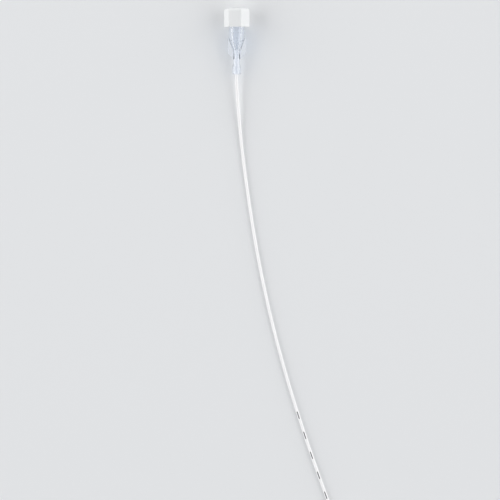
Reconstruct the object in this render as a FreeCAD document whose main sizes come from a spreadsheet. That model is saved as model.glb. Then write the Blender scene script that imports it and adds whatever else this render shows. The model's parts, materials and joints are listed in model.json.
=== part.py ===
"""Umbilical catheter: a fine marked tube in a clear hub that a white screw cap closes.

Millimetres. The catheter lies on a table: +Y runs along the hub towards its cap, +Z is up, and
the origin is on the table under the middle of the hub and cap. The hub's own frame has its
socket's mouth at y = 0 and the tube's end at negative y. The cap is drawn in the same frame,
screwed home.
"""

import FreeCAD
import Part
import math
import os
import Sketcher

Vector = FreeCAD.Vector
Rotation = FreeCAD.Rotation
Placement = FreeCAD.Placement

SIZES = [
    ("cap_flats", 10.7, "cap, across the flats of its hexagon"),
    ("cap_length", 9.0, "cap, end to end"),
    ("cap_end_wall", 1.6, "cap, thickness of its closed end"),
    ("cap_bore", 8.1, "cap, inside diameter of its skirt"),
    ("cap_edge_round", 0.35, "cap, rounding of the hexagon's edges"),
    ("cap_headroom", 1.8, "from the cap's end wall to the hub's rim, screwed home"),
    ("plug_length", 7.0, "cap, length of the male cone in its middle"),
    ("plug_clearance", 0.04, "radial, between the male cone and the socket"),
    ("socket_mouth", 4.3, "hub, diameter of the socket at its mouth"),
    ("socket_taper", 0.06, "hub, loss of diameter for each unit of depth"),
    ("socket_depth", 8.4, "hub, depth of the tapered socket"),
    ("chamber_bore", 3.4, "hub, diameter of the chamber under the socket"),
    ("chamber_end", 11.2, "hub, where the chamber turns into the funnel"),
    ("funnel_outlet", 0.8, "hub, diameter of the funnel's narrow end"),
    ("neck_width", 6.6, "hub, diameter inside the cap's skirt"),
    ("neck_length", 5.2, "hub, length of that neck"),
    ("neck_bevel", 0.3, "hub, bevel from the neck to the barrel"),
    ("lug_span", 7.8, "hub, across the two lock lugs"),
    ("lug_width", 3.2, "hub, width of a lug"),
    ("lug_thickness", 0.9, "hub, length of a lug along the axis"),
    ("barrel_width", 7.2, "hub, diameter of the barrel below the cap"),
    ("barrel_end", 11.2, "hub, where the barrel turns into the shoulder"),
    ("shoulder_end", 17.0, "hub, where the shoulder turns into the stem"),
    ("stem_width", 3.3, "hub, diameter of the stem"),
    ("foot_length", 2.6, "hub, length of the foot below its flare"),
    ("flare_length", 2.4, "hub, length of the flare from the stem to the foot"),
    ("flare_width", 4.4, "hub, diameter of the flared foot"),
    ("flare_round", 0.8, "hub, rounding of the foot's end"),
    ("hub_length", 28.0, "hub, end to end"),
    ("fin_count", 4, "hub, number of fins"),
    ("fin_reach", 4.3, "hub, from the axis to a fin's outer edge"),
    ("fin_thickness", 1.0, "hub, thickness of a fin"),
    ("fin_start", 11.0, "hub, where the fins start"),
    ("fin_slant", 3.2, "hub, length over which a fin's edge slants in to its knee"),
    ("fin_knee_reach", 2.3, "hub, from the axis to the fin's edge at its knee"),
    ("fin_run_out", 2.7, "hub, length over which the fin runs out below its knee"),
    ("fin_overrun", 1.0, "hub, how far the fins run on over the flare"),
    ("hub_turn", 10.4, "degrees, between a fin and the cap's upper flat"),
    ("tube_width", 1.35, "tube, outside diameter"),
    ("tube_bore", 0.7, "tube, diameter of its bore"),
    ("tube_clearance", 0.05, "radial, between the tube and its hole in the hub"),
    ("tube_inset", 11.7, "tube, length held in the hub"),
    ("tube_hole_bevel", 0.3, "hub, bevel of the tube's hole"),
    ("exit_run", 6.0, "tube, straight beyond the hub"),
    ("coil_outer_turn", 8.3, "coil, radius of its widest turn"),
    ("coil_inner_turn", 5.5, "coil, radius of its tightest turn"),
    ("coil_layer", 1.4, "coil, height of one layer above the other"),
    ("coil_turns", 4, "coil, number of turns"),
    ("coil_inset", 0.05, "coil, how far its bevelled outer side lies inside the tube's outline"),
    ("coil_stub", 5.5, "coil, straight tube at its start and end"),
    ("tip_lead", 2.4, "tip, level stretch off the coil"),
    ("tip_slope", 4.6, "tip, stretch in which it comes down to the table"),
    ("tip_rest", 4.6, "tip, stretch on the table"),
    ("tip_round", 0.25, "tip, rounding of its open end"),
    ("overcut", 1.0, "how far a trimming cut reaches past its piece"),
]

# The tube's points on the table, from beyond the exit to the coil (x, y)
ROUTE_ON_TABLE = [
    (1.9, -46.0),
    (5.7, -72.0),
    (10.6, -100.0),
    (17.2, -129.0),
    (25.4, -158.0),
    (35.2, -187.0),
    (43.8, -210.0),
    (51.0, -228.0),
]

# Places along the hub that are counted up from its foot
FLARE_FULL = "(Sizes.hub_length - Sizes.foot_length)"
FLARE_START = f"({FLARE_FULL} - Sizes.flare_length)"
FIN_END = f"({FLARE_START} + Sizes.fin_overrun)"
FIN_KNEE = f"({FIN_END} - Sizes.fin_run_out)"
FIN_SHOULDER = f"({FIN_KNEE} - Sizes.fin_slant)"

# How much of the shorter of two runs a bend takes up, and how near two places count as one
ARC_SHARE = 0.45
NEAR = 0.01

doc = FreeCAD.newDocument("UmbilicalCatheter")


def make_sheet():
    """The driving dimensions, one row each, with the name as the cell's alias."""
    sheet = doc.addObject("Spreadsheet::Sheet", "Sizes")
    for row, (name, value, note) in enumerate(SIZES, start=1):
        sheet.set(f"A{row}", name)
        sheet.set(f"B{row}", str(value))
        sheet.set(f"C{row}", note)
        sheet.setAlias(f"B{row}", name)
    doc.recompute()
    return sheet


sheet = make_sheet()


def size(name):
    return float(sheet.get(name))


def worked_out(expression):
    """The value of an expression in the sheet's names."""
    return float(sheet.evalExpression(expression))


def bind(feature, prop, expression):
    feature.setExpression(prop, expression)


def plane(body, role):
    return next(f for f in body.Origin.OriginFeatures if f.Role == role)


def new_sketch(body, name, role):
    sketch = body.newObject("Sketcher::SketchObject", name)
    sketch.AttachmentSupport = [(plane(body, role), "")]
    sketch.MapMode = "FlatFace"
    return sketch


def pin_point(sketch, line, corner, label):
    """Hold a line's start at a corner: a pair of expressions, where None means on that axis."""
    across, along = corner
    if across is None:
        sketch.addConstraint(Sketcher.Constraint("PointOnObject", line, 1, -2))
    else:
        value = worked_out(across)
        index = sketch.addConstraint(Sketcher.Constraint("DistanceX", -1, 1, line, 1, value))
        sketch.renameConstraint(index, f"{label}_across")
        bind(sketch, f"Constraints.{label}_across", across)
    if along is None:
        sketch.addConstraint(Sketcher.Constraint("PointOnObject", line, 1, -1))
    else:
        value = worked_out(along)
        index = sketch.addConstraint(Sketcher.Constraint("DistanceY", -1, 1, line, 1, value))
        sketch.renameConstraint(index, f"{label}_along")
        bind(sketch, f"Constraints.{label}_along", along)


def outline(body, name, role, corners):
    """A closed sketch through named corners, each pinned to the sheet."""
    sketch = new_sketch(body, name, role)
    points = []
    for _, across, along in corners:
        x = 0.0 if across is None else worked_out(across)
        y = 0.0 if along is None else worked_out(along)
        points.append(Vector(x, y, 0))
    count = len(points)
    for i in range(count):
        sketch.addGeometry(Part.LineSegment(points[i], points[(i + 1) % count]), False)
    for i in range(count):
        sketch.addConstraint(Sketcher.Constraint("Coincident", i, 2, (i + 1) % count, 1))
    for i, (label, across, along) in enumerate(corners):
        pin_point(sketch, i, (across, along), label)
    return sketch


def circle(body, name, role, across, along, radius):
    """A circle sketch, its centre and radius pinned to the sheet."""
    sketch = new_sketch(body, name, role)
    centre = Vector(worked_out(across), worked_out(along), 0)
    round_line = Part.Circle(centre, Vector(0, 0, 1), worked_out(radius))
    sketch.addGeometry(round_line, False)
    pins = [
        ("across", Sketcher.Constraint("DistanceX", -1, 1, 0, 3, centre.x), across),
        ("along", Sketcher.Constraint("DistanceY", -1, 1, 0, 3, centre.y), along),
        ("radius", Sketcher.Constraint("Radius", 0, round_line.Radius), radius),
    ]
    for label, constraint, expression in pins:
        index = sketch.addConstraint(constraint)
        sketch.renameConstraint(index, label)
        bind(sketch, f"Constraints.{label}", expression)
    return sketch


def turned(body, kind, name, sketch, axis):
    """A full turn of a sketch about its own axis: a Revolution or a Groove."""
    feature = body.newObject(f"PartDesign::{kind}", name)
    feature.Profile = sketch
    feature.ReferenceAxis = (sketch, [axis])
    feature.Angle = 360.0
    sketch.Visibility = False
    return feature


def padded(body, name, sketch, length, reverse=False, both_ways=False):
    feature = body.newObject("PartDesign::Pad", name)
    feature.Profile = sketch
    feature.SideType = "Symmetric" if both_ways else "One side"
    feature.Reversed = reverse
    bind(feature, "Length", length)
    sketch.Visibility = False
    return feature


def ring_of(body, name, original, count):
    """Copies of one feature about the hub's axis."""
    feature = body.newObject("PartDesign::PolarPattern", name)
    feature.Originals = [original]
    feature.Axis = (plane(body, "Y_Axis"), [""])
    feature.Angle = 360.0
    bind(feature, "Occurrences", count)
    body.Tip = feature
    return feature


def rounded(body, name, base, edges, radius):
    feature = body.newObject("PartDesign::Fillet", name)
    feature.Base = (base, edges)
    bind(feature, "Radius", radius)
    return feature


def edges_where(shape, test):
    return [f"Edge{i}" for i, edge in enumerate(shape.Edges, start=1) if test(edge)]


def make_hub():
    body = doc.addObject("PartDesign::Body", "Hub")
    body.Label = "hub"
    outside = outline(
        body,
        "HubOutside",
        "XY_Plane",
        [
            ("mouth_middle", None, None),
            ("rim", "Sizes.neck_width / 2", None),
            ("neck_foot", "Sizes.neck_width / 2", "-Sizes.neck_length"),
            ("barrel_top", "Sizes.barrel_width / 2", "-Sizes.neck_length - Sizes.neck_bevel"),
            ("barrel_foot", "Sizes.barrel_width / 2", "-Sizes.barrel_end"),
            ("stem_top", "Sizes.stem_width / 2", "-Sizes.shoulder_end"),
            ("stem_foot", "Sizes.stem_width / 2", f"-{FLARE_START}"),
            ("flare_top", "Sizes.flare_width / 2", f"-{FLARE_FULL}"),
            ("flare_foot", "Sizes.flare_width / 2", "-Sizes.hub_length"),
            ("end_middle", None, "-Sizes.hub_length"),
        ],
    )
    turned(body, "Revolution", "HubTurned", outside, "V_Axis")
    fin_outline = outline(
        body,
        "FinOutline",
        "XY_Plane",
        [
            ("root_top", None, "-Sizes.fin_start"),
            ("edge_top", "Sizes.fin_reach", "-Sizes.fin_start"),
            ("edge_foot", "Sizes.fin_reach", f"-{FIN_SHOULDER}"),
            ("knee", "Sizes.fin_knee_reach", f"-{FIN_KNEE}"),
            ("run_out", "Sizes.stem_width / 2", f"-{FIN_END}"),
            ("root_foot", None, f"-{FIN_END}"),
        ],
    )
    fin = padded(body, "Fin", fin_outline, "Sizes.fin_thickness", both_ways=True)
    ring_of(body, "Fins", fin, "Sizes.fin_count")
    lug_outline = outline(
        body,
        "LugOutline",
        "XZ_Plane",
        [
            ("left_low", "-Sizes.lug_span / 2", "-Sizes.lug_width / 2"),
            ("right_low", "Sizes.lug_span / 2", "-Sizes.lug_width / 2"),
            ("right_high", "Sizes.lug_span / 2", "Sizes.lug_width / 2"),
            ("left_high", "-Sizes.lug_span / 2", "Sizes.lug_width / 2"),
        ],
    )
    padded(body, "Lugs", lug_outline, "Sizes.lug_thickness")
    lug_trim = outline(
        body,
        "LugTrim",
        "XY_Plane",
        [
            ("inner_top", "Sizes.lug_span / 2", "Sizes.overcut"),
            ("outer_top", "Sizes.lug_span", "Sizes.overcut"),
            ("outer_foot", "Sizes.lug_span", "-Sizes.lug_thickness - Sizes.overcut"),
            ("inner_foot", "Sizes.lug_span / 2", "-Sizes.lug_thickness - Sizes.overcut"),
        ],
    )
    turned(body, "Groove", "LugsRounded", lug_trim, "V_Axis")
    bore_foot = "(Sizes.socket_mouth - Sizes.socket_taper * Sizes.socket_depth) / 2"
    seat = "-Sizes.hub_length + Sizes.tube_inset"
    tube_hole = "Sizes.tube_width / 2 + Sizes.tube_clearance"
    bore_outline = outline(
        body,
        "HubBore",
        "XY_Plane",
        [
            ("mouth_middle", None, None),
            ("mouth", "Sizes.socket_mouth / 2", None),
            ("socket_foot", bore_foot, "-Sizes.socket_depth"),
            ("chamber_top", "Sizes.chamber_bore / 2", "-Sizes.socket_depth"),
            ("chamber_foot", "Sizes.chamber_bore / 2", "-Sizes.chamber_end"),
            ("funnel_foot", "Sizes.funnel_outlet / 2", seat),
            ("seat_edge", tube_hole, seat),
            ("hole_foot", tube_hole, "-Sizes.hub_length + Sizes.tube_hole_bevel"),
            ("hole_edge", f"{tube_hole} + Sizes.tube_hole_bevel", "-Sizes.hub_length"),
            ("end_middle", None, "-Sizes.hub_length"),
        ],
    )
    bore = turned(body, "Groove", "HubBored", bore_outline, "V_Axis")
    doc.recompute()
    foot_edge = edges_where(
        bore.Shape,
        lambda e: abs(e.BoundBox.YMax + size("hub_length")) < NEAR
        and abs(e.BoundBox.XLength - size("flare_width")) < NEAR,
    )
    rounded(body, "FootRounded", bore, foot_edge, "Sizes.flare_round")
    return body


def make_cap():
    body = doc.addObject("PartDesign::Body", "Cap")
    body.Label = "cap"
    corner = "Sizes.cap_flats / sqrt(3)"
    half_corner = "Sizes.cap_flats / sqrt(12)"
    flat = "Sizes.cap_flats / 2"
    open_end = "Sizes.cap_length - Sizes.cap_end_wall - Sizes.cap_headroom"
    closed_end = "Sizes.cap_end_wall + Sizes.cap_headroom"
    hexagon = outline(
        body,
        "CapHexagon",
        "XZ_Plane",
        [
            ("right", corner, None),
            ("high_right", half_corner, flat),
            ("high_left", f"-{half_corner}", flat),
            ("left", f"-{corner}", None),
            ("low_left", f"-{half_corner}", f"-{flat}"),
            ("low_right", half_corner, f"-{flat}"),
        ],
    )
    block = body.newObject("PartDesign::Pad", "CapBlock")
    block.Profile = hexagon
    block.SideType = "Two sides"
    bind(block, "Length", open_end)
    bind(block, "Length2", closed_end)
    hexagon.Visibility = False
    doc.recompute()
    open_y = -worked_out(open_end)
    outer_edges = edges_where(block.Shape, lambda e: e.BoundBox.YMax > open_y + NEAR)
    rounded(body, "CapRounded", block, outer_edges, "Sizes.cap_edge_round")
    cone = "(Sizes.socket_mouth - Sizes.socket_taper * {depth}) / 2 - Sizes.plug_clearance"
    plug_depth = "Sizes.plug_length - Sizes.cap_headroom"
    inside = outline(
        body,
        "CapInside",
        "XY_Plane",
        [
            ("plug_root", cone.format(depth="(-Sizes.cap_headroom)"), "Sizes.cap_headroom"),
            ("skirt_root", "Sizes.cap_bore / 2", "Sizes.cap_headroom"),
            ("skirt_edge", "Sizes.cap_bore / 2", f"-({open_end})"),
            ("open_middle", None, f"-({open_end})"),
            ("plug_end", None, f"-({plug_depth})"),
            ("plug_edge", cone.format(depth=f"({plug_depth})"), f"-({plug_depth})"),
        ],
    )
    turned(body, "Groove", "CapHollowed", inside, "V_Axis")
    return body


def rest_placement(cap, hub):
    """How the capped hub lies: on the edge of the cap's flat and on one fin's outer corner."""
    turn = math.radians(size("hub_turn"))
    cap_edge_at = size("cap_length") - size("cap_end_wall") - size("cap_headroom")
    cap_edge_low = size("cap_flats") / 2
    fin_low = size("fin_reach") * math.cos(turn) + size("fin_thickness") / 2 * math.sin(turn)
    fin_corner_at = worked_out(FIN_SHOULDER)
    tilt = math.atan2(cap_edge_low - fin_low, fin_corner_at - cap_edge_at)
    lean = Rotation(Vector(1, 0, 0), math.degrees(tilt))
    contact = lean.multVec(Vector(0, -cap_edge_at, -cap_edge_low))
    twist = Rotation(Vector(0, 1, 0), size("hub_turn"))
    boxes = [
        cap.Shape.transformed(Placement(Vector(0, 0, 0), lean).toMatrix()).BoundBox,
        hub.Shape.transformed(Placement(Vector(0, 0, 0), lean.multiply(twist)).toMatrix()).BoundBox,
    ]
    middle = (max(b.YMax for b in boxes) + min(b.YMin for b in boxes)) / 2
    lift = Vector(0, -middle, -contact.z)
    return Placement(lift, lean), Placement(lift, lean.multiply(twist)), math.degrees(tilt)


def smooth_path(points):
    """Straight runs joined by tangent arcs, as edges, with the arcs' radii."""
    edges = []
    radii = []
    start = points[0]
    for before, corner, after in zip(points, points[1:], points[2:]):
        into = corner - before
        out = after - corner
        turn = into.getAngle(out)
        setback = ARC_SHARE * min(into.Length, out.Length)
        arc_start = corner - Vector(into).normalize() * setback
        arc_end = corner + Vector(out).normalize() * setback
        radius = setback / math.tan(turn / 2)
        inward = (Vector(out).normalize() - Vector(into).normalize()).normalize()
        middle = corner + inward * (radius / math.cos(turn / 2) - radius)
        edges.append(Part.LineSegment(start, arc_start).toShape())
        edges.append(Part.Arc(arc_start, middle, arc_end).toShape())
        radii.append(radius)
        start = arc_end
    edges.append(Part.LineSegment(start, points[-1]).toShape())
    return edges, radii


def swept_tube(points, name):
    """The tube along a path, its bore open from end to end, with its volume compared."""
    edges, radii = smooth_path(points)
    path = Part.Wire(edges)
    along = points[1] - points[0]
    outside, bore = [
        path.makePipeShell([Part.Wire(Part.makeCircle(width / 2, points[0], along))], True, False)
        for width in (size("tube_width"), size("tube_bore"))
    ]
    shape = outside.cut(bore)
    section = math.pi / 4 * (size("tube_width") ** 2 - size("tube_bore") ** 2)
    share = shape.Volume / (section * path.Length)
    print(f"{name}: {path.Length:.1f} long, arc radii", [round(r, 1) for r in radii])
    print(f"{name}: volume {share:.4f} of section times length")
    return shape, path.Length


def round_end(shape, end, radius):
    """The outer edge of a tube's open end, rounded."""
    rim = [
        edge
        for edge in shape.Edges
        if isinstance(edge.Curve, Part.Circle)
        and (edge.Curve.Center - end).Length < NEAR
        and abs(edge.Curve.Radius - size("tube_width") / 2) < NEAR
    ]
    return shape.makeFillet(radius, rim)


def make_tube(hub_place):
    """The stretch from its seat in the hub to the coil, and where it ends and points."""
    seat = -size("hub_length") + size("tube_inset")
    exit_end = -size("hub_length") - size("exit_run")
    points = [hub_place.multVec(Vector(0, seat, 0)), hub_place.multVec(Vector(0, exit_end, 0))]
    points += [Vector(x, y, size("tube_width") / 2) for x, y in ROUTE_ON_TABLE]
    shape, length = swept_tube(points, "catheter_tube")
    tube = doc.addObject("Part::Feature", "CatheterTube")
    tube.Label = "catheter_tube"
    tube.Shape = shape
    heading = (points[-1] - points[-2]).normalize()
    return tube, points[-1], heading, length - size("tube_inset")


def make_coil(start, heading):
    """The outer shape of the coiled rest of the tube, with the straight tube at its two ends."""
    body = doc.addObject("PartDesign::Body", "TubeCoil")
    body.Label = "tube_coil"
    inner = "Sizes.coil_inner_turn - Sizes.tube_width / 2"
    outer = "Sizes.coil_outer_turn + Sizes.tube_width / 2 - Sizes.coil_inset"
    bevel = "Sizes.coil_outer_turn - Sizes.tube_width / 2 - Sizes.coil_inset"
    height = "Sizes.tube_width + Sizes.coil_layer"
    low = "Sizes.tube_width / 2"
    high = "Sizes.tube_width / 2 + Sizes.coil_layer"
    section = outline(
        body,
        "CoilSection",
        "XZ_Plane",
        [
            ("inner_low", inner, None),
            ("bevel_low", bevel, None),
            ("outer_low", outer, low),
            ("outer_high", outer, high),
            ("bevel_high", bevel, height),
            ("inner_high", inner, height),
        ],
    )
    turned(body, "Revolution", "CoilTurned", section, "V_Axis")
    ends = [("LeadIn", low, True), ("LeadOut", high, False)]
    for name, level, reverse in ends:
        spot = circle(body, f"{name}Round", "XZ_Plane", "-Sizes.coil_outer_turn", level, low)
        padded(body, name, spot, "Sizes.coil_stub", reverse=reverse)
    touch = start + heading * size("coil_stub")
    left = Vector(-heading.y, heading.x, 0)
    centre = touch + left * size("coil_outer_turn")
    turn = math.degrees(math.atan2(heading.x, -heading.y))
    ground = Vector(centre.x, centre.y, 0)
    body.Placement = Placement(ground, Rotation(Vector(0, 0, 1), turn))
    mean_turn = (size("coil_outer_turn") + size("coil_inner_turn")) / 2
    length = 2 * math.pi * mean_turn * size("coil_turns") + 2 * size("coil_stub")
    return body, touch, length


def make_tip(touch, heading):
    """The last stretch, off the coil and down to the table, with a rounded open end."""
    level = size("tube_width") / 2
    steps = [
        (size("coil_stub"), level + size("coil_layer")),
        (size("tip_lead"), level + size("coil_layer")),
        (size("tip_slope"), level),
        (size("tip_rest"), level),
    ]
    points = []
    reach = 0.0
    for step, height in steps:
        reach += step
        along = touch + heading * reach
        points.append(Vector(along.x, along.y, height))
    shape, length = swept_tube(points, "tube_tip")
    tip = doc.addObject("Part::Feature", "TubeTip")
    tip.Label = "tube_tip"
    tip.Shape = round_end(shape, points[-1], size("tip_round"))
    return tip, length


def check(parts):
    """Stop where an object failed or a sub-part is not one sound solid."""
    for thing in doc.Objects:
        if "Invalid" in thing.State or "Error" in thing.State:
            raise RuntimeError(f"{thing.Name} failed: {thing.State}")
    for part in parts:
        shape = part.Shape
        if shape.isNull() or not shape.isValid() or len(shape.Solids) != 1:
            raise RuntimeError(f"{part.Label} is not one sound solid")


cap = make_cap()
hub = make_hub()
doc.recompute()
cap_place, hub_place, tilt = rest_placement(cap, hub)
cap.Placement = cap_place
hub.Placement = hub_place
tube, tube_end, heading, tube_free = make_tube(hub_place)
coil, touch, coil_length = make_coil(tube_end, heading)
tip, tip_length = make_tip(touch, heading)
doc.recompute()
parts = [cap, hub, tube, coil, tip]
check(parts)

print(f"rest tilt {tilt:.2f} degrees")
print(f"tube beyond the hub: {tube_free + coil_length + tip_length:.1f}")
os.makedirs("parts", exist_ok=True)
for part in parts:
    box = part.Shape.BoundBox
    print(part.Label, f"volume {part.Shape.Volume:.1f}", box)
    part.Shape.exportStep(f"parts/{part.Label}.step")
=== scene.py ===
"""The looks of an umbilical catheter: a white screw cap, a clear blue hub and a fine marked tube.

Metres. +Y runs along the hub towards its cap, +Z is up and the table is at z = 0. The hub and cap
are modelled upright about their own axis, the socket's mouth at z = 0, and then laid in place.
"""

import json
import math

import bmesh
import bpy
import numpy as np
from bpy.props import FloatProperty, FloatVectorProperty, IntProperty, PointerProperty
from mathutils import Matrix, Vector


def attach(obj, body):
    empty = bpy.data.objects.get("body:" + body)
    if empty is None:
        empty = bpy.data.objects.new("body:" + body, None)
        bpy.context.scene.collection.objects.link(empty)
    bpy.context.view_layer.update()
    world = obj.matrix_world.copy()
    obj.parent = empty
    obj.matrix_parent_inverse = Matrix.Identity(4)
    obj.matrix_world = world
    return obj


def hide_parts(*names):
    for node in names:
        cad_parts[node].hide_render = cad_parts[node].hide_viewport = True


bl_info = {
    "name": "Umbilical Catheter",
    "version": (1, 0, 0),
    "blender": (4, 5, 0),
    "location": "View3D > Sidebar > Catheter",
    "description": "Models an umbilical catheter over its construction frame",
    "category": "Object",
}

# Vertices closer than this, in millimetres, are one
WELD = 0.0005

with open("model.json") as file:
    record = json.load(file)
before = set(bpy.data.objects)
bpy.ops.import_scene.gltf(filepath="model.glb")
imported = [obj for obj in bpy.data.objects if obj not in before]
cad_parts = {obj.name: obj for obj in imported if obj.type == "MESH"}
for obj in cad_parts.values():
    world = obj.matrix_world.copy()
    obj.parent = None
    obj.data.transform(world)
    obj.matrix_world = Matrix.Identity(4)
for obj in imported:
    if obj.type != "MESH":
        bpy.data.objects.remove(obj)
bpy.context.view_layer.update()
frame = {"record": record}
socket = next(m for m in frame["record"]["mounts"] if m["name"] == "connector_socket")
MOUTH = Vector(socket["pos_m"])
HUB_AXIS = Vector(socket["axis"]).normalized()


def mm(value):
    return value * 0.001


def linear(hex_colour):
    """The linear colour of an sRGB hex value."""
    channels = [int(hex_colour[i : i + 2], 16) / 255 for i in (1, 3, 5)]
    return tuple(c / 12.92 if c <= 0.04045 else ((c + 0.055) / 1.055) ** 2.4 for c in channels)


def length_prop(name, description, value):
    return FloatProperty(name=name, description=description, default=mm(value), unit="LENGTH", precision=5)


def colour_prop(name, description, hex_colour):
    return FloatVectorProperty(
        name=name,
        description=description,
        default=linear(hex_colour),
        subtype="COLOR",
        size=3,
        min=0.0,
        max=1.0,
    )


class CatheterSizes(bpy.types.PropertyGroup):
    hub_turn: FloatProperty(
        name="Hub turn",
        description="Angle between a fin and the cap's upper flat",
        default=math.radians(10.4),
        subtype="ANGLE",
    )
    tube_width: length_prop("Tube width", "Outside diameter of the tube", 1.35)
    tube_bore: length_prop("Tube bore", "Diameter of the tube's bore", 0.7)
    tip_round: length_prop("Tip rounding", "Rounding of the tube's open end", 0.25)
    first_mark: length_prop("First mark", "From the hub's end to the middle of the first depth mark", 165.7)
    mark_pitch: length_prop("Mark pitch", "From one depth mark to the next", 10.0)
    mark_length: length_prop("Mark length", "Length of a depth mark along the tube", 3.5)
    mark_count: IntProperty(name="Marks", description="Number of depth marks", default=21, min=1)
    cap_flats: length_prop("Cap flats", "Across the flats of the cap's hexagon", 10.7)
    thread_lead: length_prop("Thread lead", "Advance of the cap's lock thread in one turn", 5.0)


class CatheterColours(bpy.types.PropertyGroup):
    cap: colour_prop("Cap", "White of the cap", "#E6E7E7")
    hub: colour_prop("Hub", "Tint of the clear hub", "#F0F3F8")
    tube: colour_prop("Tube", "White of the tube", "#F3F2F2")
    ink: colour_prop("Ink", "Ink of the depth marks", "#424448")
    board: colour_prop("Board", "Pale board under the catheter", "#E3E4E5")


def deselect_all():
    if bpy.context.mode != "OBJECT":
        bpy.ops.object.mode_set(mode="OBJECT")
    bpy.ops.object.select_all(action="DESELECT")


def select_only(thing):
    """Selects one object and makes it the active one."""
    deselect_all()
    thing.select_set(True)
    bpy.context.view_layer.objects.active = thing


def start_edit(thing):
    select_only(thing)
    bpy.ops.object.mode_set(mode="EDIT")


def end_edit():
    bpy.ops.object.mode_set(mode="OBJECT")


def pick(thing, kind, test):
    """Selects only those verts, edges or faces, in edit mode, that pass a test."""
    bpy.ops.mesh.select_mode(type=kind)
    bpy.ops.mesh.select_all(action="DESELECT")
    shape = bmesh.from_edit_mesh(thing.data)
    for element in {"VERT": shape.verts, "EDGE": shape.edges, "FACE": shape.faces}[kind]:
        if test(element):
            element.select_set(True)
    shape.select_flush_mode()
    bmesh.update_edit_mesh(thing.data)


def new_point(name, place):
    """A mesh of one vertex, in edit mode: a small plane merged to its centre."""
    deselect_all()
    bpy.ops.mesh.primitive_plane_add(size=mm(1))
    thing = bpy.context.active_object
    thing.name = name
    bpy.ops.object.mode_set(mode="EDIT")
    bpy.ops.mesh.select_mode(type="VERT")
    bpy.ops.mesh.select_all(action="SELECT")
    bpy.ops.mesh.merge(type="CENTER")
    bpy.ops.transform.translate(value=place)
    return thing


def turned(name, profile, sides=96):
    """A shape turned about the Z axis. profile holds (radius, height, rounding) in millimetres."""
    points = [Vector((mm(radius), 0, mm(height))) for radius, height, _ in profile]
    thing = new_point(name, points[0])
    for here, there in zip(points, points[1:]):
        bpy.ops.mesh.extrude_region_move(TRANSFORM_OT_translate={"value": there - here})
    bpy.ops.mesh.select_all(action="SELECT")
    bpy.ops.mesh.remove_doubles(threshold=mm(WELD))
    for point, (_, _, rounding) in zip(points, profile):
        if rounding:
            pick(thing, "VERT", lambda v: (v.co - point).length < mm(0.002))
            bpy.ops.mesh.bevel(offset=mm(rounding), offset_type="WIDTH", segments=5, affect="VERTICES")
    bpy.ops.mesh.select_all(action="SELECT")
    bpy.ops.mesh.spin(steps=sides, angle=math.tau, center=(0, 0, 0), axis=(0, 0, 1))
    bpy.ops.mesh.select_all(action="SELECT")
    bpy.ops.mesh.remove_doubles(threshold=mm(WELD))
    bpy.ops.mesh.normals_make_consistent(inside=False)
    end_edit()
    return thing


def cut_off(thing, point, normal):
    """Cuts away what lies beyond a plane, in millimetres, and closes the cut."""
    start_edit(thing)
    bpy.ops.mesh.select_all(action="SELECT")
    bpy.ops.mesh.bisect(
        plane_co=[mm(c) for c in point],
        plane_no=normal,
        use_fill=True,
        clear_outer=True,
    )
    end_edit()


def apply_modifier(thing, kind, **settings):
    select_only(thing)
    bpy.ops.object.modifier_add(type=kind)
    modifier = thing.modifiers[-1]
    for name, value in settings.items():
        setattr(modifier, name, value)
    bpy.ops.object.modifier_apply(modifier=modifier.name)


def combine(thing, tool, operation):
    """A boolean with another mesh, which is used up."""
    apply_modifier(thing, "BOOLEAN", operation=operation, solver="EXACT", object=tool)
    bpy.data.objects.remove(tool)


def lay_down(thing, turn):
    """From upright about Z to its place on the table, with the place in the mesh."""
    lean = math.atan2(HUB_AXIS.z, HUB_AXIS.y)
    upright_to_y = Matrix.Rotation(-math.pi / 2, 4, "X")
    twist = Matrix.Rotation(turn, 4, "Y")
    thing.matrix_world = Matrix.Translation(MOUTH) @ Matrix.Rotation(lean, 4, "X") @ twist @ upright_to_y
    select_only(thing)
    bpy.ops.object.transform_apply(location=True, rotation=True, scale=True)


def finish_piece(thing, body, slot, material, *nodes):
    """Gives a piece its material, and says what it rides on and which nodes it replaces."""
    thing.data.materials.clear()
    thing.data.materials.append(material)
    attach(thing, body)
    if nodes:
        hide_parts(*nodes)


def add_node(tree, kind, values=None, links=None, **settings):
    """One shader node: its settings, its sockets' values, and links from (node, output) pairs."""
    node = tree.nodes.new(kind)
    for name, value in settings.items():
        setattr(node, name, value)
    for name, value in (values or {}).items():
        node.inputs[name].default_value = value
    for name, (source, output) in (links or {}).items():
        tree.links.new(source.outputs[output], node.inputs[name])
    return node


def new_material(name):
    """An empty material with its output node."""
    material = bpy.data.materials.new(name)
    material.use_nodes = True
    material.node_tree.nodes.clear()
    output = add_node(material.node_tree, "ShaderNodeOutputMaterial")
    return material, material.node_tree, output


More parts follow.
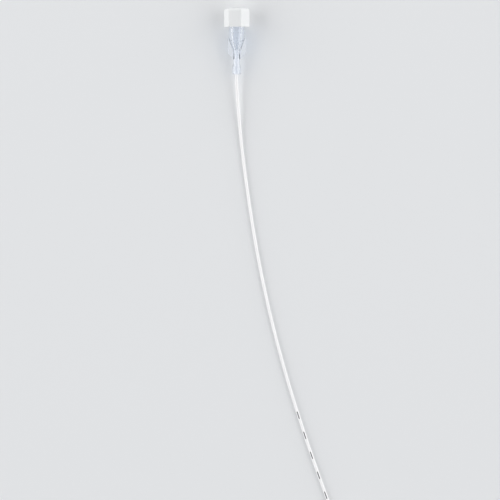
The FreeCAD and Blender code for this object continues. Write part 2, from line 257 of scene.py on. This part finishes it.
def moulded_polypropylene(colour):
    """White polypropylene, injection moulded in a satin tool: dense white, soft sheen, faint grain."""
    material, tree, output = new_material("moulded_polypropylene")
    place = add_node(tree, "ShaderNodeTexCoord")
    # The tool's spark grain is about 0.05 mm. It is drawn at 0.3 mm, the finest that shows.
    grain = add_node(
        tree,
        "ShaderNodeTexNoise",
        {"Scale": 3300.0, "Detail": 3.0, "Roughness": 0.6},
        {"Vector": (place, "Object")},
    )
    # Slow change of sheen where the melt flowed, over about 4 mm
    flow = add_node(
        tree,
        "ShaderNodeTexNoise",
        {"Scale": 260.0, "Detail": 2.0},
        {"Vector": (place, "Object")},
    )
    sheen = add_node(
        tree,
        "ShaderNodeMapRange",
        {"From Min": 0.3, "From Max": 0.7, "To Min": 0.36, "To Max": 0.46},
        {"Value": (flow, "Fac")},
    )
    bump = add_node(
        tree,
        "ShaderNodeBump",
        {"Strength": 0.12, "Distance": mm(0.05)},
        {"Height": (grain, "Fac")},
    )
    shader = add_node(
        tree,
        "ShaderNodeBsdfPrincipled",
        {
            "Base Color": (*colour, 1),
            "IOR": 1.49,
            "Subsurface Weight": 0.12,
            "Subsurface Radius": (1.0, 1.0, 1.0),
            "Subsurface Scale": mm(0.7),
        },
        {"Roughness": (sheen, "Result"), "Normal": (bump, "Normal")},
    )
    tree.links.new(shader.outputs["BSDF"], output.inputs["Surface"])
    return material


def clear_polycarbonate(colour):
    """Clear polycarbonate with a blue tint, moulded in a polished tool: bends light, glints."""
    material, tree, output = new_material("clear_polycarbonate")
    place = add_node(tree, "ShaderNodeTexCoord")
    # Sink and flow leave the polished wall a little wavy, over about 2.5 mm
    waves = add_node(
        tree,
        "ShaderNodeTexNoise",
        {"Scale": 400.0, "Detail": 1.0, "Roughness": 0.4},
        {"Vector": (place, "Object")},
    )
    bump = add_node(
        tree,
        "ShaderNodeBump",
        {"Strength": 0.25, "Distance": mm(0.12)},
        {"Height": (waves, "Fac")},
    )
    shader = add_node(
        tree,
        "ShaderNodeBsdfPrincipled",
        {
            "Base Color": (*colour, 1),
            "Roughness": 0.07,
            "IOR": 1.58,
            "Transmission Weight": 0.93,
        },
        {"Normal": (bump, "Normal")},
    )
    # Lamps shine through a clear moulding on what is in it and under it
    passing = add_node(tree, "ShaderNodeBsdfTransparent", {"Color": (0.82, 0.855, 0.9, 1)})
    ray = add_node(tree, "ShaderNodeLightPath")
    clear = add_node(
        tree,
        "ShaderNodeMixShader",
        links={0: (ray, "Is Shadow Ray"), 1: (shader, "BSDF"), 2: (passing, "BSDF")},
    )
    tree.links.new(clear.outputs["Shader"], output.inputs["Surface"])
    # The tint deepens with thickness: a 6 mm path keeps 86 per cent of the red and 93 of the blue
    depth = add_node(tree, "ShaderNodeVolumeAbsorption", {"Color": (0.54, 0.65, 0.77, 1), "Density": 54.0})
    tree.links.new(depth.outputs["Volume"], output.inputs["Volume"])
    return material


def extruded_polyurethane(colour):
    """White radiopaque polyurethane, extruded: dense white, silky, with fine lengthwise draw lines."""
    material, tree, output = new_material("extruded_polyurethane")
    along = add_node(tree, "ShaderNodeUVMap", uv_map="tube_map")
    # u is metres along the tube and v metres round it. Draw lines run long and about 0.15 mm apart.
    stretch = add_node(
        tree,
        "ShaderNodeMapping",
        {"Scale": (60.0, 6500.0, 1.0)},
        {"Vector": (along, "UV")},
    )
    lines = add_node(
        tree,
        "ShaderNodeTexNoise",
        {"Scale": 1.0, "Detail": 2.0},
        {"Vector": (stretch, "Vector")},
        noise_dimensions="2D",
    )
    bump = add_node(
        tree,
        "ShaderNodeBump",
        {"Strength": 0.1, "Distance": mm(0.03)},
        {"Height": (lines, "Fac")},
    )
    sheen = add_node(
        tree,
        "ShaderNodeMapRange",
        {"From Min": 0.3, "From Max": 0.7, "To Min": 0.3, "To Max": 0.42},
        {"Value": (lines, "Fac")},
    )
    shader = add_node(
        tree,
        "ShaderNodeBsdfPrincipled",
        {
            "Base Color": (*colour, 1),
            "IOR": 1.5,
            "Subsurface Weight": 0.15,
            "Subsurface Radius": (1.0, 1.0, 1.0),
            "Subsurface Scale": mm(0.3),
        },
        {"Roughness": (sheen, "Result"), "Normal": (bump, "Normal")},
    )
    tree.links.new(shader.outputs["BSDF"], output.inputs["Surface"])
    return material


def printed_ink(colour):
    """Black ink, rolled on: flat, and a little thin where the roller skipped."""
    material, tree, output = new_material("printed_ink")
    along = add_node(tree, "ShaderNodeUVMap", uv_map="tube_map")
    # Skips of about 0.3 mm
    skips = add_node(
        tree,
        "ShaderNodeTexNoise",
        {"Scale": 3000.0, "Detail": 2.0},
        {"Vector": (along, "UV")},
        noise_dimensions="2D",
    )
    tone = add_node(
        tree,
        "ShaderNodeMix",
        {"A": (*colour, 1), "B": (*[c * 1.9 for c in colour], 1)},
        {"Factor": (skips, "Fac")},
        data_type="RGBA",
    )
    shader = add_node(
        tree,
        "ShaderNodeBsdfPrincipled",
        {"Roughness": 0.55, "IOR": 1.5},
        {"Base Color": (tone, "Result")},
    )
    tree.links.new(shader.outputs["BSDF"], output.inputs["Surface"])
    return material


def painted_board(colour):
    """A plain pale board, painted matt. Through the hub it is paler, for what the walls take away."""
    material, tree, output = new_material("painted_board")
    paint = add_node(
        tree,
        "ShaderNodeBsdfPrincipled",
        {"Base Color": (*colour, 1), "Roughness": 0.9, "Specular IOR Level": 0.2},
    )
    glow = add_node(tree, "ShaderNodeEmission", {"Color": (*colour, 1), "Strength": 1.1})
    ray = add_node(tree, "ShaderNodeLightPath")
    seen = add_node(
        tree,
        "ShaderNodeMixShader",
        links={0: (ray, "Is Transmission Ray"), 1: (paint, "BSDF"), 2: (glow, "Emission")},
    )
    tree.links.new(seen.outputs["Shader"], output.inputs["Surface"])
    return material


# Along the hub, in millimetres below the socket's mouth
HUB_LENGTH = 28.0
TUBE_SEAT = 16.3
EXIT_RUN_END = 34.0

# The tube's points on the table, from beyond the exit to the coil (x, y), in metres
ROUTE_ON_TABLE = [
    (0.0019, -0.0460),
    (0.0057, -0.0720),
    (0.0106, -0.1000),
    (0.0172, -0.1290),
    (0.0254, -0.1580),
    (0.0352, -0.1870),
    (0.0438, -0.2100),
    (0.0510, -0.2280),
]

# The tube's mesh: faces round it, rings in the rounding of its tip, and in millimetres how far
# apart its rings are on the table and in the coil, and how far from the hub the coil begins
TUBE_SIDES = 36
TIP_RINGS = 6
RING_STEP = 1.2
COIL_RING_STEP = 0.55
COIL_FROM = 222

# The coil out of sight, in metres: its widest and tightest turn and the height of a layer
OUTER_TURN = 0.0083
INNER_TURN = 0.0055
LAYER = 0.0014
TURNS_A_LAYER = 2
POINTS_A_TURN = 16
COIL_STUB = 0.0055


def below_mouth(distance):
    """The place on the hub's axis this many millimetres below the socket's mouth."""
    return MOUTH - HUB_AXIS * mm(distance)


def coil_points(touch, heading, level):
    """The turns' control points: in on the table, up a layer, and out again over the first."""
    left = Vector((-heading.y, heading.x, 0))
    centre = touch + left * OUTER_TURN
    start = math.atan2(touch.y - centre.y, touch.x - centre.x)
    last = 2 * TURNS_A_LAYER * POINTS_A_TURN
    half = last // 2
    # A control polygon of this many points lies outside its own curve by this share
    step = math.tau / POINTS_A_TURN
    swell = 2 / (0.75 + 0.25 * math.cos(step) + math.cos(step / 2))
    points = []
    for i in range(1, last):
        share = abs(half - i) / half
        radius = swell * (INNER_TURN + (OUTER_TURN - INNER_TURN) * share)
        rise = min(max((i - half) / 2.5 + 0.5, 0), 1)
        angle = start + i * step
        spot = Vector((centre.x, centre.y, level + LAYER * rise))
        points.append(spot + Vector((math.cos(angle), math.sin(angle), 0)) * radius)
    return points


def route_points(width):
    """The control points of the whole tube, from its seat in the hub to its tip."""
    level = width / 2
    # The point at the exit keeps the tube straight inside the hub, as it is there
    points = [below_mouth(d) for d in (TUBE_SEAT, HUB_LENGTH, EXIT_RUN_END)]
    points += [Vector((x, y, level)) for x, y in ROUTE_ON_TABLE]
    heading = (points[-1] - points[-2]).normalized()
    touch = points[-1] + heading * COIL_STUB
    points += [touch - heading * mm(1.5)]
    points += coil_points(touch, heading, level)
    for reach, height in ((1.5, LAYER), (5.5, LAYER), (7.9, LAYER), (12.5, 0), (17.1, 0)):
        points.append(touch + heading * mm(reach) + Vector((0, 0, height)))
    return points


def smooth_line(points):
    """The points of one smooth spline through a route, and how far along each lies."""
    curve = bpy.data.curves.new("tube_route", "CURVE")
    curve.dimensions = "3D"
    spline = curve.splines.new("NURBS")
    spline.points.add(len(points) - 1)
    for spot, point in zip(spline.points, points):
        spot.co = (*point, 1)
    spline.order_u = 3
    spline.use_endpoint_u = True
    spline.resolution_u = 24
    carrier = bpy.data.objects.new("tube_route", curve)
    bpy.context.scene.collection.objects.link(carrier)
    bpy.context.view_layer.update()
    read = bpy.data.meshes.new_from_object(carrier)
    line = np.array([v.co for v in read.vertices])
    bpy.data.objects.remove(carrier)
    bpy.data.meshes.remove(read)
    bpy.data.curves.remove(curve)
    along = np.concatenate([[0], np.cumsum(np.linalg.norm(np.diff(line, axis=0), axis=1))])
    return line, along


class CATHETER_OT_tube(bpy.types.Operator):
    """Model the tube with its bore, its rounded tip and its printed depth marks"""

    bl_idname = "catheter.tube"
    bl_label = "Marked Tube"

    def execute(self, context):
        sizes = context.scene.catheter_sizes
        colours = context.scene.catheter_colours
        radius = sizes.tube_width / 2
        bore = sizes.tube_bore / 2
        line, along = smooth_line(route_points(sizes.tube_width))
        total = along[-1]
        exit_at = mm(HUB_LENGTH - TUBE_SEAT)
        marks = [exit_at + sizes.first_mark + i * sizes.mark_pitch for i in range(sizes.mark_count)]
        half_mark = sizes.mark_length / 2
        mark_edges = [middle + way * half_mark for middle in marks for way in (-1, 1)]
        coil_from = exit_at + mm(COIL_FROM)
        plain = np.concatenate(
            [
                np.arange(0, coil_from, mm(RING_STEP)),
                np.arange(coil_from, total - sizes.tip_round - mm(0.1), mm(COIL_RING_STEP)),
            ]
        )
        # No plain ring close to a mark's edge
        plain = [s for s in plain if min(abs(s - edge) for edge in mark_edges) > mm(0.2)]
        rings = [(s, radius) for s in sorted(plain + mark_edges)]
        for i in range(TIP_RINGS + 1):
            turn = math.pi / 2 * i / TIP_RINGS
            reach = total - sizes.tip_round * (1 - math.sin(turn))
            rings.append((reach, radius - sizes.tip_round * (1 - math.cos(turn))))
        outer_count = len(rings)
        rings += [(total, bore)]
        rings += [(s, bore) for s, _ in reversed(rings[: outer_count - TIP_RINGS - 1])]

        sides = TUBE_SIDES
        verts = []
        for s, r in rings:
            spot = np.array([np.interp(s, along, line[:, k]) for k in range(3)])
            ahead = [np.interp(min(s + mm(0.2), total), along, line[:, k]) for k in range(3)]
            behind = [np.interp(max(s - mm(0.2), 0), along, line[:, k]) for k in range(3)]
            tangent = (Vector(ahead) - Vector(behind)).normalized()
            side = tangent.cross(Vector((0, 0, 1))).normalized()
            up = side.cross(tangent)
            for i in range(sides):
                angle = math.tau * i / sides
                verts.append(Vector(spot) + (up * math.cos(angle) + side * math.sin(angle)) * r)
        faces = []
        for k in range(len(rings)):
            here = k * sides
            there = (k + 1) % len(rings) * sides
            for i in range(sides):
                j = (i + 1) % sides
                faces.append((here + i, here + j, there + j, there + i))
        mesh = bpy.data.meshes.new("marked_tube")
        mesh.from_pydata(verts, [], faces)
        tube = bpy.data.objects.new("marked_tube", mesh)
        context.scene.collection.objects.link(tube)
        start_edit(tube)
        bpy.ops.mesh.select_all(action="SELECT")
        bpy.ops.mesh.normals_make_consistent(inside=False)
        end_edit()

        finish_piece(
            tube,
            "hub",
            "tube_plastic",
            extruded_polyurethane(colours.tube),
            "catheter_tube",
            "tube_coil",
            "tube_tip",
        )
        mesh.materials.append(printed_ink(colours.ink))
        mapping = mesh.uv_layers.new(name="tube_map")
        for face in mesh.polygons:
            ring, column = divmod(face.index, sides)
            face.use_smooth = True
            if ring < outer_count - 1:
                middle = (rings[ring][0] + rings[ring + 1][0]) / 2
                on_top = column in (0, 1, sides - 2, sides - 1)
                if on_top and any(abs(middle - mark) < half_mark for mark in marks):
                    face.material_index = 1
            for corner in face.loop_indices:
                vertex = mesh.loops[corner].vertex_index
                turn = vertex % sides
                if column == sides - 1 and turn == 0:
                    turn = sides
                mapping.uv[corner].vector = (rings[vertex // sides][0], math.tau * radius * turn / sides)
        return {"FINISHED"}


class CATHETER_OT_hub(bpy.types.Operator):
    """Model the clear hub: body, fins, lock lugs, socket, chamber and funnel"""

    bl_idname = "catheter.hub"
    bl_label = "Clear Hub"

    # Millimetres. The fins are two crossed plates, and the lugs a bar trimmed to a circle.
    fin_span = 8.6
    fin_thickness = 1.0
    fin_length = 13.0
    fin_middle = -17.5
    lug_radius = 3.9
    lug_height = 0.9
    lug_half_width = 1.6
    # The grain of the mesh that joins them, and how often it is smoothed
    voxel = 0.112
    smoothings = 10

    def execute(self, context):
        sizes = context.scene.catheter_sizes
        colours = context.scene.catheter_colours
        hub = turned(
            "clear_hub",
            [
                (0, 0, 0),
                (3.3, 0, 0.12),
                (3.3, -5.2, 0),
                (3.6, -5.5, 0.1),
                (3.6, -11.2, 1.0),
                (1.65, -17.0, 1.2),
                (1.65, -23.0, 1.0),
                (2.2, -25.4, 0.6),
                (2.2, -28.0, 0.8),
                (0, -28.0, 0),
            ],
        )
        fins = []
        for turn in (0, math.pi / 2):
            deselect_all()
            middle = (0, 0, mm(self.fin_middle))
            bpy.ops.mesh.primitive_cube_add(size=1, location=middle)
            plate = context.active_object
            start_edit(plate)
            bpy.ops.mesh.select_all(action="SELECT")
            bpy.ops.transform.resize(
                value=(mm(self.fin_span), mm(self.fin_thickness), mm(self.fin_length)),
                center_override=middle,
            )
            end_edit()
            bpy.ops.object.transform_apply(location=True, rotation=True, scale=True)
            # Below its parallel part each edge slants twice into the stem
            for way in (-1, 1):
                cut_off(plate, (4.3 * way, 0, -18.1), (3.2 * way, 0, -2.0))
                cut_off(plate, (2.3 * way, 0, -21.3), (2.7 * way, 0, -0.65))
            start_edit(plate)
            pick(plate, "EDGE", lambda e: any(abs(v.co.x) > mm(1.7) for v in e.verts))
            bpy.ops.mesh.bevel(offset=mm(0.22), segments=3, affect="EDGES")
            bpy.ops.mesh.select_all(action="SELECT")
            bpy.ops.transform.rotate(value=turn, orient_axis="Z", center_override=(0, 0, 0))
            end_edit()
            fins.append(plate)
        deselect_all()
        bpy.ops.mesh.primitive_cylinder_add(
            vertices=96,
            radius=mm(self.lug_radius),
            depth=mm(self.lug_height),
            location=(0, 0, mm(-self.lug_height / 2)),
        )
        lugs = context.active_object
        bpy.ops.object.transform_apply(location=True, rotation=True, scale=True)
        for way in (-1, 1):
            cut_off(lugs, (0, self.lug_half_width * way, 0), (0, way, 0))
        for tool in (*fins, lugs):
            combine(hub, tool, "UNION")
        # The bore's last stretch lies inside the tube's wall, so that the two look bonded
        cavity = turned(
            "hub_cavity",
            [
                (0, 1.0, 0),
                (2.35, 1.0, 0),
                (2.15, 0, 0.1),
                (1.898, -8.4, 0),
                (1.7, -8.4, 0),
                (1.7, -11.2, 0.6),
                (0.4, -16.3, 0),
                (0.55, -16.3, 0),
                (0.55, -29.0, 0),
                (0, -29.0, 0),
            ],
        )
        combine(hub, cavity, "DIFFERENCE")
        apply_modifier(hub, "REMESH", mode="VOXEL", voxel_size=mm(self.voxel), use_smooth_shade=True)
        apply_modifier(hub, "SMOOTH", factor=0.5, iterations=self.smoothings)
        lay_down(hub, sizes.hub_turn)
        finish_piece(hub, "hub", "hub_plastic", clear_polycarbonate(colours.hub), "hub")
        return {"FINISHED"}


class CATHETER_OT_cap(bpy.types.Operator):
    """Model the screw cap: hexagon, skirt, male cone and two-start lock thread"""

    bl_idname = "catheter.cap"
    bl_label = "Screw Cap"

    # Millimetres: the cap end to end, its middle, and the roundings of its edges
    length = 9.0
    middle = -1.1
    end_rounding = 1.6
    upright_rounding = 0.4
    rim_rounding = 0.18

    def execute(self, context):
        sizes = context.scene.catheter_sizes
        colours = context.scene.catheter_colours
        deselect_all()
        bpy.ops.mesh.primitive_cylinder_add(
            vertices=6,
            radius=sizes.cap_flats / math.sqrt(3),
            depth=mm(self.length),
            location=(0, 0, mm(self.middle)),
            rotation=(0, 0, math.pi / 2),
        )
        cap = context.active_object
        cap.name = "screw_cap"
        bpy.ops.object.transform_apply(location=True, rotation=True, scale=True)
        closed_end = mm(3.4)
        open_end = mm(-5.6)
        start_edit(cap)
        pick(cap, "EDGE", lambda e: min(v.co.z for v in e.verts) > closed_end - mm(0.01))
        bpy.ops.mesh.bevel(offset=mm(self.end_rounding), segments=10, affect="EDGES")
        # The six upright edges, and the creases where they run on over the rounded end
        pick(
            cap,
            "EDGE",
            lambda e: e.calc_face_angle() > math.radians(25)
            and abs(e.verts[0].co.z - e.verts[1].co.z) > mm(0.01),
        )
        bpy.ops.mesh.bevel(offset=mm(self.upright_rounding), segments=4, affect="EDGES")
        pick(cap, "EDGE", lambda e: max(v.co.z for v in e.verts) < open_end + mm(0.01))
        bpy.ops.mesh.bevel(offset=mm(self.rim_rounding), segments=3, affect="EDGES")
        end_edit()
        inside = turned(
            "cap_inside",
            [
                (0, -5.2, 0),
                (1.954, -5.2, 0.3),
                (2.164, 1.8, 0.3),
                (4.05, 1.8, 0.4),
                (4.05, -5.35, 0),
                (4.3, -5.7, 0),
                (4.3, -6.6, 0),
                (0, -6.6, 0),
            ],
        )
        combine(cap, inside, "DIFFERENCE")
        for start in (0, math.pi):
            combine(cap, self.rib(sizes, start), "UNION")
        select_only(cap)
        bpy.ops.object.shade_smooth_by_angle(angle=math.radians(35))
        apply_modifier(cap, "WEIGHTED_NORMAL", keep_sharp=True)
        lay_down(cap, 0.0)
        finish_piece(cap, "cap", "cap_plastic", moulded_polypropylene(colours.cap), "cap")
        return {"FINISHED"}

    def rib(self, sizes, start):
        """One start of the right-handed thread. At rest the lugs lie between its turns."""
        # Millimetres: where the rib's middle passes a lug, and its lowest and highest place
        at_lug, low, high = -1.71, -5.0, 1.15
        lead = sizes.thread_lead * 1000
        turn = math.tau * (high - low) / lead
        first = sizes.hub_turn + start - math.tau * (at_lug - low) / lead
        section = [(4.15, low - 0.5), (3.55, low - 0.33), (3.55, low + 0.33), (4.15, low + 0.5)]
        out = Vector((math.cos(first), math.sin(first), 0))
        points = [out * mm(r) + Vector((0, 0, mm(z))) for r, z in section]
        rib = new_point("thread_rib", points[0])
        for here, there in zip(points, points[1:] + points[:1]):
            bpy.ops.mesh.extrude_region_move(TRANSFORM_OT_translate={"value": there - here})
        bpy.ops.mesh.select_all(action="SELECT")
        bpy.ops.mesh.remove_doubles(threshold=mm(WELD))
        end_edit()
        apply_modifier(
            rib,
            "SCREW",
            axis="Z",
            angle=turn,
            screw_offset=mm(high - low),
            steps=72,
            render_steps=72,
        )
        start_edit(rib)
        # Each end is closed and runs out into the wall
        for angle, height in ((first, low), (first + turn, high)):
            out = Vector((math.cos(angle), math.sin(angle), 0))
            middle = out * mm(3.85) + Vector((0, 0, mm(height)))
            pick(
                rib,
                "EDGE",
                lambda e: e.is_boundary and all((v.co - middle).length < mm(0.9) for v in e.verts),
            )
            bpy.ops.mesh.edge_face_add()
            bpy.ops.transform.translate(value=out * mm(0.45))
        bpy.ops.mesh.select_all(action="SELECT")
        bpy.ops.mesh.normals_make_consistent(inside=False)
        end_edit()
        return rib


class CATHETER_OT_stage(bpy.types.Operator):
    """Lay the board, and set the camera, the lamps and the surroundings"""

    bl_idname = "catheter.stage"
    bl_label = "Stage"

    def execute(self, context):
        scene = context.scene
        colours = scene.catheter_colours
        self.set_camera(scene)
        deselect_all()
        bpy.ops.mesh.primitive_plane_add(size=1.6, location=(0, -0.1, 0))
        board = context.active_object
        board.name = "board"
        board.data.materials.append(painted_board(colours.board))
        middle = Vector((0, -0.08, 0))
        lamps = [
            ("left_lamp", (-3.0, 0.0, 1.3), 4.7, 103.0),
            ("right_lamp", (3.0, 0.0, 1.3), 4.7, 99.0),
            ("far_lamp", (0.0, 2.9, 1.45), 2.9, 24.0),
        ]
        for name, place, width, power in lamps:
            lamp = bpy.data.lights.new(name, "AREA")
            lamp.shape = "RECTANGLE"
            lamp.size = width
            lamp.size_y = width * 0.7
            lamp.energy = power
            carrier = bpy.data.objects.new(name, lamp)
            carrier.location = Vector(place) + middle
            carrier.rotation_euler = (middle - carrier.location).to_track_quat("-Z", "Y").to_euler()
            carrier.visible_camera = False
            carrier.visible_transmission = False
            scene.collection.objects.link(carrier)
        self.set_world(scene)
        scene.view_settings.view_transform = "Standard"
        return {"FINISHED"}

    def set_world(self, scene):
        """A pale room: soft light from all round, and paler still where the clear hub bends the view."""
        world = bpy.data.worlds.new("pale_room")
        scene.world = world
        world.use_nodes = True
        tree = world.node_tree
        tree.nodes.clear()
        ray = add_node(tree, "ShaderNodeLightPath")
        lit, through, seen = [
            add_node(tree, "ShaderNodeBackground", {"Color": (*linear(colour), 1), "Strength": strength})
            for colour, strength in (("#F2F4F7", 0.43), ("#E0E5ED", 0.63), ("#E4E6E8", 1.0))
        ]
        room = add_node(
            tree,
            "ShaderNodeMixShader",
            links={0: (ray, "Is Transmission Ray"), 1: (lit, "Background"), 2: (through, "Background")},
        )
        mix = add_node(
            tree,
            "ShaderNodeMixShader",
            links={0: (ray, "Is Camera Ray"), 1: (room, "Shader"), 2: (seen, "Background")},
        )
        output = add_node(tree, "ShaderNodeOutputWorld")
        tree.links.new(mix.outputs["Shader"], output.inputs["Surface"])

    def set_camera(self, scene):
        """Looks down on the table from a little to the right, as in the photograph."""
        aim = Vector((0.00727, -0.099495, 0))
        distance = 1.0
        # Metres of the table across the picture
        field = 0.239
        lean = math.radians(9.6)
        spin = math.radians(0.955)
        flat = Vector((math.cos(lean), 0, -math.sin(lean)))
        ahead = Vector((0, 1, 0))
        right = flat * math.cos(spin) + ahead * math.sin(spin)
        up = ahead * math.cos(spin) - flat * math.sin(spin)
        back = right.cross(up)
        lens = bpy.data.cameras.new("camera")
        lens.sensor_width = 36.0
        lens.lens = lens.sensor_width * distance / field
        camera = bpy.data.objects.new("camera", lens)
        turn = Matrix((right, up, back)).transposed().to_4x4()
        camera.matrix_world = Matrix.Translation(aim + back * distance) @ turn
        scene.collection.objects.link(camera)
        scene.camera = camera


class CATHETER_PT_panel(bpy.types.Panel):
    """The catheter's pieces, sizes and colours"""

    bl_idname = "CATHETER_PT_panel"
    bl_label = "Umbilical Catheter"
    bl_space_type = "VIEW_3D"
    bl_region_type = "UI"
    bl_category = "Catheter"

    def draw(self, context):
        for group in (context.scene.catheter_sizes, context.scene.catheter_colours):
            box = self.layout.box()
            for name in group.__annotations__:
                box.prop(group, name)
        for step in STEPS:
            self.layout.operator(step.bl_idname)


STEPS = (CATHETER_OT_stage, CATHETER_OT_tube, CATHETER_OT_hub, CATHETER_OT_cap)
CLASSES = (CatheterSizes, CatheterColours, *STEPS, CATHETER_PT_panel)


def register():
    for one in CLASSES:
        bpy.utils.register_class(one)
    bpy.types.Scene.catheter_sizes = PointerProperty(type=CatheterSizes)
    bpy.types.Scene.catheter_colours = PointerProperty(type=CatheterColours)


def unregister():
    del bpy.types.Scene.catheter_colours
    del bpy.types.Scene.catheter_sizes
    for one in reversed(CLASSES):
        bpy.utils.unregister_class(one)


def main():
    register()
    bpy.ops.catheter.stage()
    bpy.ops.catheter.tube()
    bpy.ops.catheter.hub()
    bpy.ops.catheter.cap()
    deselect_all()


if __name__ == "__main__":
    main()
